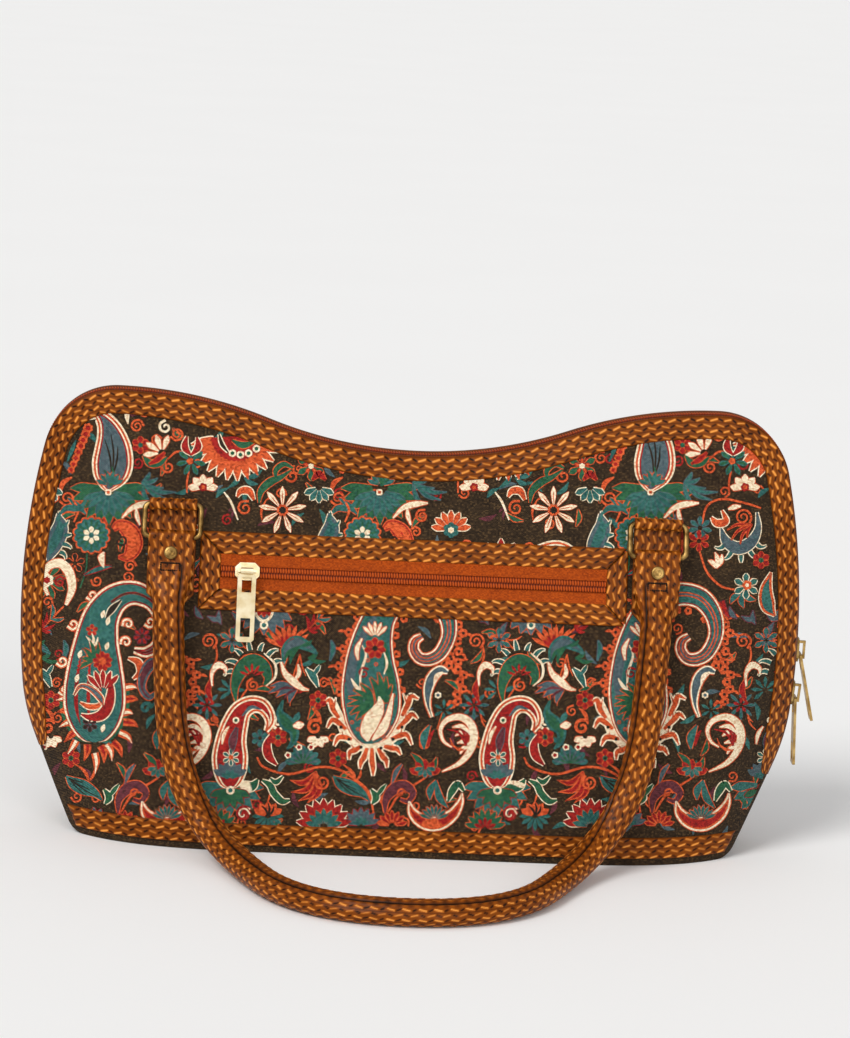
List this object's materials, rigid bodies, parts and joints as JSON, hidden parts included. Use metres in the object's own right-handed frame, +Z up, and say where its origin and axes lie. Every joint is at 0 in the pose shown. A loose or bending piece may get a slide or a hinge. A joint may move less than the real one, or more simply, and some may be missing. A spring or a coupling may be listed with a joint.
{
  "type": "carpet bag",
  "caption": "Soft zip-top carpet bag with domed brocade panels, braided trim, a framed zip pocket and rolled handles hung on wire rings.",
  "frame": {"origin": "middle of the base, on the floor", "axes": "+X to the right seen from the front, front towards -Y, +Z up"},
  "size_m": [0.4352, 0.381, 0.2408],
  "materials": {
    "brocade": "woven, dark ground with coloured paisley",
    "braid": "embossed braid, semi-gloss",
    "handle_braid": "embossed braid, semi-gloss",
    "zip_tape": "woven tape",
    "zip_coil": "moulded coil",
    "pale_gold": "polished, pale gold",
    "antique_brass": "antique",
    "board": "plain board",
    "pouch_cloth": "plain lining"
  },
  "bodies": {
    "bag": {"front_panel": "brocade", "back_panel": "brocade", "base_panel": "brocade", "left_gusset": "brocade", "right_gusset": "brocade", "base_board": "board", "front_edge_trim": "braid", "back_edge_trim": "braid", "front_base_trim": "braid", "back_base_trim": "braid", "pocket_top_strip": "braid", "pocket_bottom_strip": "braid", "pocket_left_strip": "braid", "pocket_right_strip": "braid", "front_left_chape": "braid", "front_right_chape": "braid", "back_left_chape": "braid", "back_right_chape": "braid", "main_zip_front_tape": "zip_tape", "main_zip_back_tape": "zip_tape", "pocket_zip_upper_tape": "zip_tape", "pocket_zip_lower_tape": "zip_tape", "main_zip_coil": "zip_coil", "pocket_zip_coil": "zip_coil", "lower_zip_slider": "pale_gold", "pocket_pouch": "pouch_cloth"},
    "pocket_slider": {"pocket_zip_slider": "pale_gold"},
    "pocket_pull": {"pocket_zip_pull": "pale_gold"},
    "upper_slider": {"upper_zip_slider": "pale_gold"},
    "upper_pull": {"upper_zip_pull": "pale_gold"},
    "lower_pull": {"lower_zip_pull": "pale_gold"},
    "front_rings": {"front_rings": "antique_brass"},
    "front_handle": {"front_handle": "handle_braid", "front_rivets": "antique_brass"},
    "back_rings": {"back_rings": "antique_brass"},
    "back_handle": {"back_handle": "handle_braid", "back_rivets": "antique_brass"}
  },
  "joints": [
    {"name": "pocket_slider_travel", "type": "slide", "parent": "bag", "child": "pocket_slider", "axis": [1, 0, 0], "range_m": [0, 0.178]},
    {"name": "pocket_pull_swing", "type": "hinge", "parent": "pocket_slider", "child": "pocket_pull", "pos_m": [-0.089, -0.04132, 0.15071], "axis": [-1, 0, 0], "range_deg": [0, 140]},
    {"name": "upper_slider_travel", "type": "hinge", "parent": "bag", "child": "upper_slider", "pos_m": [-0.189, 0, 0.119], "axis": [0, -1, 0], "range_deg": [0, 11]},
    {"name": "upper_pull_swing", "type": "hinge", "parent": "upper_slider", "child": "upper_pull", "pos_m": [0.21429, 0, 0.10934], "axis": [0, -1, 0], "range_deg": [0, 110]},
    {"name": "lower_pull_swing", "type": "hinge", "parent": "bag", "child": "lower_pull", "pos_m": [0.21299, 0, 0.08514], "axis": [0, -1, 0], "range_deg": [0, 20]},
    {"name": "front_ring_swing", "type": "hinge", "parent": "bag", "child": "front_rings", "pos_m": [0, -0.02888, 0.183], "axis": [-1, 0, 0], "range_deg": [0, 110]},
    {"name": "front_handle_swing", "type": "hinge", "parent": "front_rings", "child": "front_handle", "pos_m": [0, -0.03591, 0.16643], "axis": [-1, 0, 0], "range_deg": [0, 33]},
    {"name": "back_ring_swing", "type": "hinge", "parent": "bag", "child": "back_rings", "pos_m": [0, 0.02888, 0.183], "axis": [1, 0, 0], "range_deg": [0, 110]},
    {"name": "back_handle_swing", "type": "hinge", "parent": "back_rings", "child": "back_handle", "pos_m": [0, 0.03591, 0.16643], "axis": [1, 0, 0], "range_deg": [0, 33]}
  ]
}
